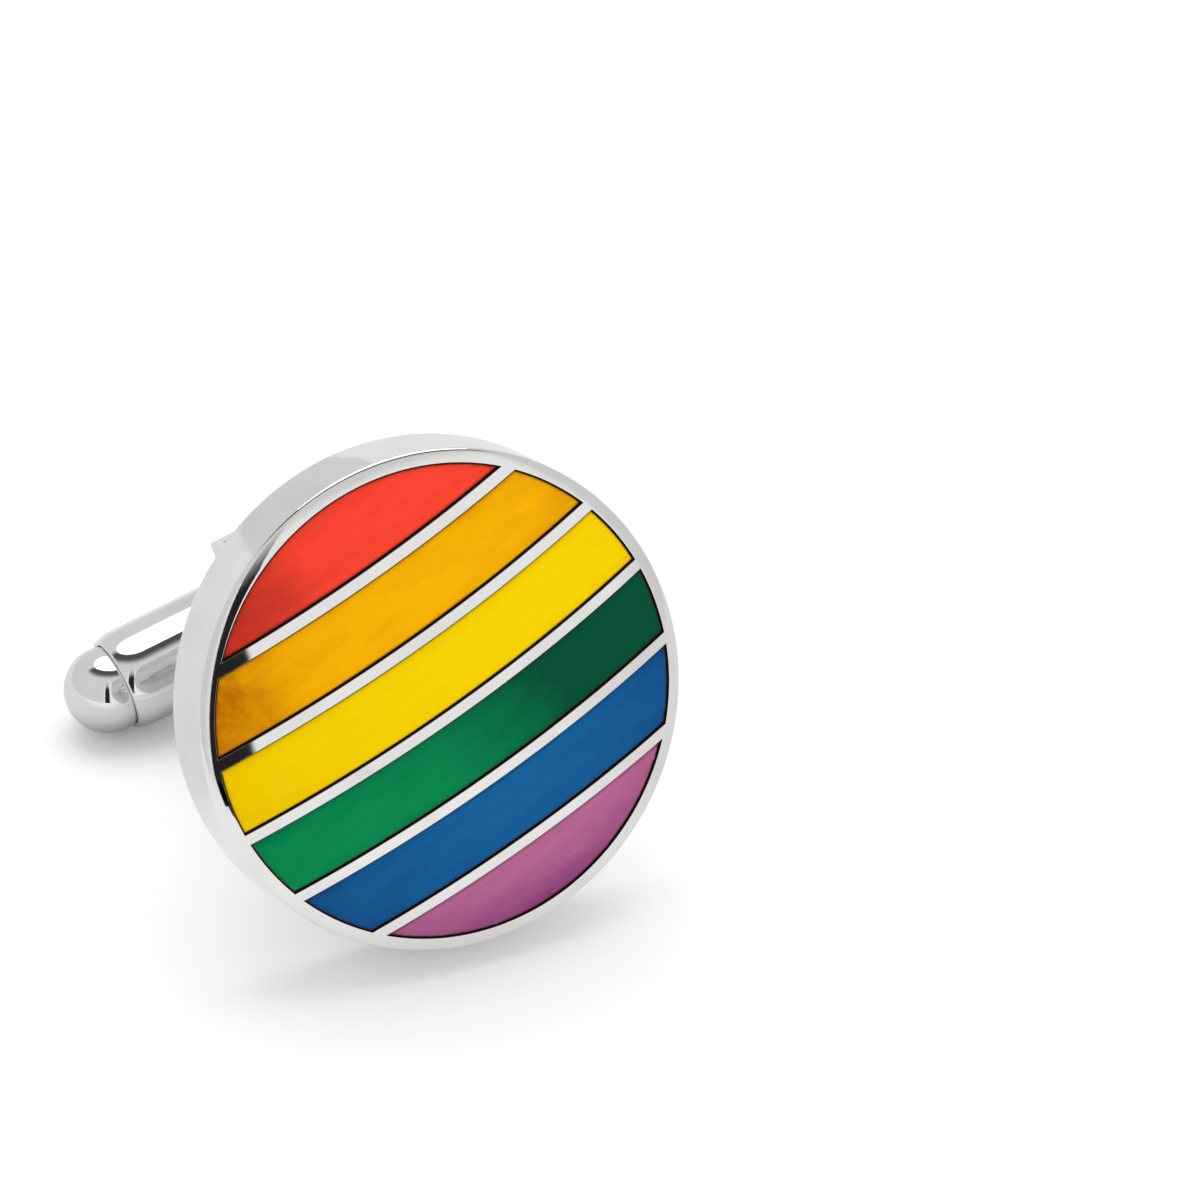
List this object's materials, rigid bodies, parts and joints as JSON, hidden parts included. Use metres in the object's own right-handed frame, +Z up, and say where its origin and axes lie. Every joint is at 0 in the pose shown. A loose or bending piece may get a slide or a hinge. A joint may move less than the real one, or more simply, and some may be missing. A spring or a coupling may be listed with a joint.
{
  "type": "swivel bar cufflink",
  "caption": "Round domed cufflink with diagonal rainbow enamel stripes, a bent strip post and a swivelling bar with ball noses.",
  "frame": {"origin": "on the table under the middle of the resting cufflink's box, which rests on the edge of its case, the lip of its barrel and the sloped end of one leg", "axes": "+Z up, +Y from the striped face towards the swivel bar, +X to the right seen from the face; the post leans down towards the bar by 21.39 degrees and the whole is rolled 13.31 degrees about it"},
  "size_m": [0.019, 0.023, 0.0187],
  "materials": {
    "polished_case": "bright polished silver-coloured plating, fine raised grain on the back",
    "enamel_red": "glossy opaque enamel",
    "enamel_orange": "glossy opaque enamel",
    "enamel_yellow": "glossy opaque enamel",
    "enamel_green": "glossy opaque enamel",
    "enamel_blue": "glossy opaque enamel",
    "enamel_purple": "glossy opaque enamel",
    "solder": "smooth plated fillet",
    "polished_post": "bright polished silver-coloured plating",
    "polished_barrel": "bright polished silver-coloured plating",
    "plain_steel": "plain ground steel",
    "spring_steel": "drawn wire"
  },
  "bodies": {
    "face_and_post": {"case": "polished_case", "enamel_red": "enamel_red", "enamel_orange": "enamel_orange", "enamel_yellow": "enamel_yellow", "enamel_green": "enamel_green", "enamel_blue": "enamel_blue", "enamel_purple": "enamel_purple", "solder_fillet": "solder", "post": "polished_post", "pivot_bar": "plain_steel"},
    "bar": {"barrel": "polished_barrel", "nose_left": "polished_barrel", "nose_right": "polished_barrel", "plunger_left": "plain_steel", "plunger_right": "plain_steel", "spring_left": "spring_steel", "spring_right": "spring_steel"}
  },
  "joints": [
    {"name": "bar_swivel", "type": "hinge", "parent": "face_and_post", "child": "bar", "pos_m": [0, 0.00853, 0.00343], "axis": [-0.2302, 0.3549, 0.9061], "continuous": true}
  ]
}
